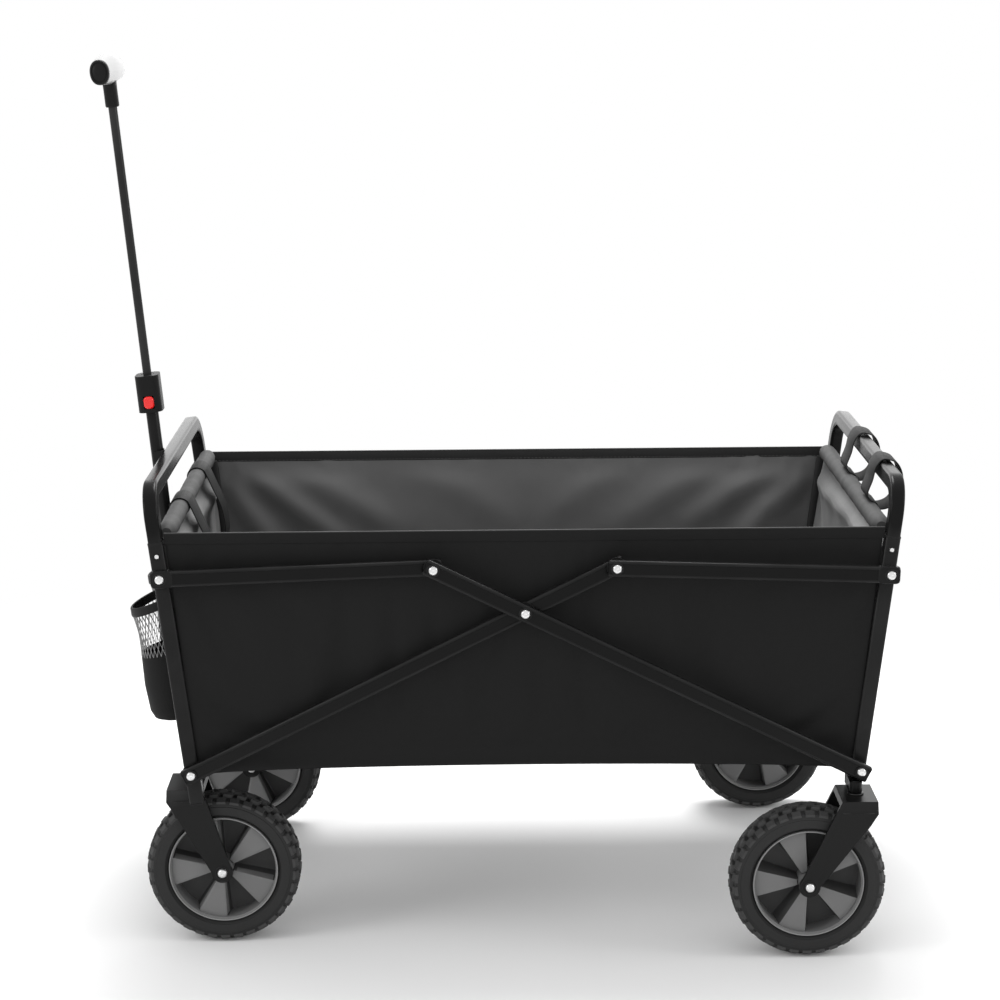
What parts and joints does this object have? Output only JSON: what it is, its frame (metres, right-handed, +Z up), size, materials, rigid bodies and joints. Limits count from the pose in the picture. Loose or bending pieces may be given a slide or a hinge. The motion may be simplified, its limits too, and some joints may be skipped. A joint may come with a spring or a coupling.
{
  "type": "folding wagon",
  "caption": "Folding utility wagon with a fabric basket on a scissor frame, rubber-tyred wheels, swivel rear casters, cup pockets and a telescoping pull handle.",
  "frame": {"origin": "on the floor, under the centre of the bounding box that includes the stowed handle", "axes": "+X to the rear, away from the handle; +Y to the far side; +Z up"},
  "size_m": [0.9868, 0.589, 1.0808],
  "materials": {
    "frame_steel": "black powder coat, satin",
    "rod_steel": "black, smooth",
    "fork_steel": "dark grey powder coat",
    "bright_steel": "zinc plated",
    "black_plastic": "moulded, fine grain",
    "rim_plastic": "moulded mid grey",
    "tyre_rubber": "dark grey rubber",
    "canvas": "coated polyester weave",
    "pad_cloth": "polyester over stiff board",
    "webbing": "woven webbing",
    "grip_plastic": "moulded light grey, black ends and neck",
    "button_red": "gloss red"
  },
  "bodies": {
    "front_frame": {"front_leg_near": "frame_steel", "front_leg_far": "frame_steel", "front_bow": "frame_steel", "front_cross_tube": "frame_steel", "front_fork_near": "fork_steel", "front_fork_far": "fork_steel", "front_axle_bolts": "bright_steel", "handle_bracket": "frame_steel", "handle_pivot_pin": "bright_steel", "handle_clip": "black_plastic", "front_rivets": "bright_steel", "front_panel": "canvas", "cup_holders": "canvas", "front_straps": "webbing", "side_panel_near": "canvas", "side_panel_far": "canvas", "floor_sling": "canvas", "floor_pad": "pad_cloth"},
    "diagonals_b": {"diagonal_b_near": "frame_steel", "diagonal_b_far": "frame_steel", "centre_rivets": "bright_steel", "knee_rivets_b": "bright_steel", "joint_washers_b": "black_plastic"},
    "diagonals_a": {"diagonal_a_near": "frame_steel", "diagonal_a_far": "frame_steel", "knee_rivets_a": "bright_steel", "joint_washers_a": "black_plastic"},
    "links_a": {"link_a_near": "frame_steel", "link_a_far": "frame_steel", "link_a_pins": "bright_steel"},
    "links_b": {"link_b_near": "frame_steel", "link_b_far": "frame_steel", "link_b_pins": "bright_steel"},
    "rear_frame": {"rear_leg_near": "frame_steel", "rear_leg_far": "frame_steel", "rear_bow": "frame_steel", "rear_cross_tube": "frame_steel", "rear_rivets": "bright_steel", "rear_panel": "canvas", "rear_straps": "webbing", "caster_bracket_near": "frame_steel", "caster_bracket_far": "frame_steel"},
    "caster_near": {"caster_fork_near": "fork_steel", "caster_bolts_near": "bright_steel"},
    "caster_far": {"caster_fork_far": "fork_steel", "caster_bolts_far": "bright_steel"},
    "front_wheel_near": {"front_tyre_near": "tyre_rubber", "front_rim_near": "rim_plastic"},
    "front_wheel_far": {"front_tyre_far": "tyre_rubber", "front_rim_far": "rim_plastic"},
    "rear_wheel_near": {"rear_tyre_near": "tyre_rubber", "rear_rim_near": "rim_plastic"},
    "rear_wheel_far": {"rear_tyre_far": "tyre_rubber", "rear_rim_far": "rim_plastic"},
    "handle_lower": {"handle_lower_tube": "frame_steel", "handle_collar": "black_plastic", "button_spring": "bright_steel"},
    "handle_upper": {"handle_upper_rod": "rod_steel", "handle_grip": "grip_plastic"},
    "button": {"release_button": "button_red"}
  },
  "joints": [
    {"name": "fold", "type": "hinge", "parent": "front_frame", "child": "diagonals_b", "pos_m": [-0.36985, 0, 0.232], "axis": [0, -1, 0], "range_deg": [0, 54.5], "deforming": ["side_panel_near", "side_panel_far", "floor_sling", "floor_pad"]},
    {"name": "scissor", "type": "hinge", "parent": "diagonals_b", "child": "diagonals_a", "pos_m": [0.03515, 0, 0.43393], "axis": [0, -1, 0], "range_deg": [-109, 0]},
    {"name": "rear_foot", "type": "hinge", "parent": "diagonals_a", "child": "rear_frame", "pos_m": [0.44015, 0, 0.232], "axis": [0, -1, 0], "range_deg": [0, 54.5]},
    {"name": "link_a_knee", "type": "hinge", "parent": "diagonals_a", "child": "links_a", "pos_m": [-0.07368, 0, 0.48818], "axis": [0, -1, 0], "range_deg": [0, 128.52]},
    {"name": "link_b_knee", "type": "hinge", "parent": "diagonals_b", "child": "links_b", "pos_m": [0.14397, 0, 0.48818], "axis": [0, -1, 0], "range_deg": [-128.52, 0]},
    {"name": "caster_swivel_near", "type": "hinge", "parent": "rear_frame", "child": "caster_near", "pos_m": [0.43415, -0.259, 0.2035], "axis": [0, 0, 1], "continuous": true},
    {"name": "caster_swivel_far", "type": "hinge", "parent": "rear_frame", "child": "caster_far", "pos_m": [0.43415, 0.259, 0.2035], "axis": [0, 0, 1], "continuous": true},
    {"name": "front_wheel_spin_near", "type": "hinge", "parent": "front_frame", "child": "front_wheel_near", "pos_m": [-0.33945, -0.193, 0.095], "axis": [0, 1, 0], "continuous": true},
    {"name": "front_wheel_spin_far", "type": "hinge", "parent": "front_frame", "child": "front_wheel_far", "pos_m": [-0.33945, 0.193, 0.095], "axis": [0, 1, 0], "continuous": true},
    {"name": "rear_wheel_spin_near", "type": "hinge", "parent": "caster_near", "child": "rear_wheel_near", "pos_m": [0.37715, -0.259, 0.095], "axis": [0, 1, 0], "continuous": true},
    {"name": "rear_wheel_spin_far", "type": "hinge", "parent": "caster_far", "child": "rear_wheel_far", "pos_m": [0.37715, 0.259, 0.095], "axis": [0, 1, 0], "continuous": true},
    {"name": "handle_pivot", "type": "hinge", "parent": "front_frame", "child": "handle_lower", "pos_m": [-0.39885, 0, 0.222], "axis": [0, -1, 0], "range_deg": [0, 95]},
    {"name": "handle_telescope", "type": "slide", "parent": "handle_lower", "child": "handle_upper", "axis": [0.0872, 0, -0.9962], "range_m": [0, 0.3]},
    {"name": "button_press", "type": "slide", "parent": "handle_lower", "child": "button", "axis": [0, 1, 0], "range_m": [0, 0.002], "stiffness_N_per_m": 500, "deforming": ["button_spring"]}
  ],
  "couplings": [
    {"joint": "scissor", "follows": "fold", "ratio": -2},
    {"joint": "rear_foot", "follows": "fold", "ratio": 1},
    {"joint": "link_a_knee", "follows": "fold", "ratio": 2.3582},
    {"joint": "link_b_knee", "follows": "fold", "ratio": -2.3582}
  ]
}
